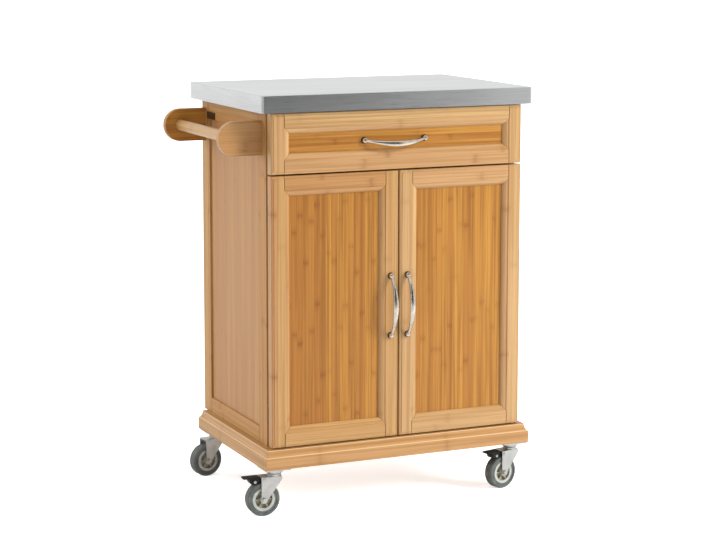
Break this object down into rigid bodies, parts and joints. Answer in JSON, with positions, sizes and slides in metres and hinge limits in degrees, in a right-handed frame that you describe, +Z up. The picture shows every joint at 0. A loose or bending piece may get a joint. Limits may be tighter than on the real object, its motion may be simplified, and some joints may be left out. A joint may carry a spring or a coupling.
{
  "type": "kitchen cart",
  "caption": "Bamboo kitchen cart with a steel worktop, a drawer over a double-door cupboard with a shelf, a side towel rail and swivel castors, the front ones braked.",
  "frame": {"origin": "on the floor under the middle of the cart's outline", "axes": "+X to the right seen from the front, +Y to the back, +Z up"},
  "size_m": [0.73, 0.479, 0.923],
  "materials": {
    "worktop_steel": "brushed stainless sheet",
    "core_board": "plain board",
    "bamboo_frame": "satin lacquered bamboo",
    "bamboo_panel": "satin lacquered bamboo, carbonised",
    "bamboo_side_panel": "satin lacquered bamboo",
    "dark_plate": "dark, bare",
    "nickel": "brushed nickel",
    "zinc": "bright zinc plate",
    "dark_bronze": "dark bronze plated steel",
    "catch_plastic": "white plastic",
    "grey_hub": "light grey plastic",
    "grey_tyre": "grey rubber",
    "black_plastic": "black plastic"
  },
  "bodies": {
    "cabinet": {"worktop_steel": "worktop_steel", "worktop_core": "core_board", "sub_top": "bamboo_frame", "left_side_frame": "bamboo_frame", "left_side_panel": "bamboo_side_panel", "right_side_frame": "bamboo_frame", "right_side_panel": "bamboo_side_panel", "back_panel": "bamboo_side_panel", "back_rails": "bamboo_frame", "bottom_board": "bamboo_side_panel", "front_top_rail": "bamboo_frame", "divider_rail": "bamboo_frame", "shelf": "bamboo_side_panel", "shelf_pins": "zinc", "plinth_moulding": "bamboo_frame", "castor_board": "bamboo_side_panel", "towel_bracket_front": "bamboo_frame", "towel_bracket_rear": "bamboo_frame", "towel_rail": "bamboo_frame", "side_plate": "dark_plate", "cabinet_slides": "zinc", "cabinet_hinge_leaves": "dark_bronze", "hinge_pins": "dark_bronze", "door_catches": "catch_plastic", "castor_plates": "zinc", "king_pins": "zinc"},
    "drawer": {"drawer_front_frame": "bamboo_frame", "drawer_front_panel": "bamboo_panel", "drawer_sides": "bamboo_side_panel", "drawer_ends": "bamboo_side_panel", "drawer_bottom": "bamboo_side_panel", "drawer_handle": "nickel", "drawer_slides": "zinc"},
    "left_door": {"left_door_frame": "bamboo_frame", "left_door_panel": "bamboo_panel", "left_door_handle": "nickel", "left_door_fittings": "dark_bronze"},
    "right_door": {"right_door_frame": "bamboo_frame", "right_door_panel": "bamboo_panel", "right_door_handle": "nickel", "right_door_fittings": "dark_bronze"},
    "castor_front_left": {"fork_front_left": "zinc", "castor_bolts_front_left": "zinc"},
    "wheel_front_left": {"hub_front_left": "grey_hub", "tyre_front_left": "grey_tyre"},
    "brake_front_left": {"brake_pedal_front_left": "black_plastic"},
    "castor_front_right": {"fork_front_right": "zinc", "castor_bolts_front_right": "zinc"},
    "wheel_front_right": {"hub_front_right": "grey_hub", "tyre_front_right": "grey_tyre"},
    "brake_front_right": {"brake_pedal_front_right": "black_plastic"},
    "castor_rear_left": {"fork_rear_left": "zinc", "castor_bolts_rear_left": "zinc"},
    "wheel_rear_left": {"hub_rear_left": "grey_hub", "tyre_rear_left": "grey_tyre"},
    "castor_rear_right": {"fork_rear_right": "zinc", "castor_bolts_rear_right": "zinc"},
    "wheel_rear_right": {"hub_rear_right": "grey_hub", "tyre_rear_right": "grey_tyre"}
  },
  "joints": [
    {"name": "drawer_slide", "type": "slide", "parent": "cabinet", "child": "drawer", "axis": [0, -1, 0], "range_m": [0, 0.28]},
    {"name": "left_door_hinge", "type": "hinge", "parent": "cabinet", "child": "left_door", "pos_m": [-0.263, -0.1835, 0.4495], "axis": [0, 0, -1], "range_deg": [0, 110]},
    {"name": "right_door_hinge", "type": "hinge", "parent": "cabinet", "child": "right_door", "pos_m": [0.338, -0.1835, 0.4495], "axis": [0, 0, 1], "range_deg": [0, 110]},
    {"name": "swivel_front_left", "type": "hinge", "parent": "cabinet", "child": "castor_front_left", "pos_m": [-0.2545, -0.1909, 0.0878], "axis": [0, 0, 1], "continuous": true},
    {"name": "roll_front_left", "type": "hinge", "parent": "castor_front_left", "child": "wheel_front_left", "pos_m": [-0.28246, -0.18943, 0.0375], "axis": [-0.0523, -0.9986, 0], "continuous": true},
    {"name": "brake_front_left", "type": "hinge", "parent": "castor_front_left", "child": "brake_front_left", "pos_m": [-0.28146, -0.18949, 0.0809], "axis": [-0.0523, -0.9986, 0], "range_deg": [0, 10]},
    {"name": "swivel_front_right", "type": "hinge", "parent": "cabinet", "child": "castor_front_right", "pos_m": [0.3295, -0.1909, 0.0878], "axis": [0, 0, 1], "continuous": true},
    {"name": "roll_front_right", "type": "hinge", "parent": "castor_front_right", "child": "wheel_front_right", "pos_m": [0.30216, -0.19696, 0.0375], "axis": [0.2164, -0.9763, 0], "continuous": true},
    {"name": "brake_front_right", "type": "hinge", "parent": "castor_front_right", "child": "brake_front_right", "pos_m": [0.30314, -0.19674, 0.0809], "axis": [0.2164, -0.9763, 0], "range_deg": [0, 10]},
    {"name": "swivel_rear_left", "type": "hinge", "parent": "cabinet", "child": "castor_rear_left", "pos_m": [-0.2545, 0.18, 0.0878], "axis": [0, 0, 1], "continuous": true},
    {"name": "roll_rear_left", "type": "hinge", "parent": "castor_rear_left", "child": "wheel_rear_left", "pos_m": [-0.28208, 0.17514, 0.0375], "axis": [0.1736, -0.9848, 0], "continuous": true},
    {"name": "swivel_rear_right", "type": "hinge", "parent": "cabinet", "child": "castor_rear_right", "pos_m": [0.3295, 0.18, 0.0878], "axis": [0, 0, 1], "continuous": true},
    {"name": "roll_rear_right", "type": "hinge", "parent": "castor_rear_right", "child": "wheel_rear_right", "pos_m": [0.30192, 0.17514, 0.0375], "axis": [0.1736, -0.9848, 0], "continuous": true}
  ]
}
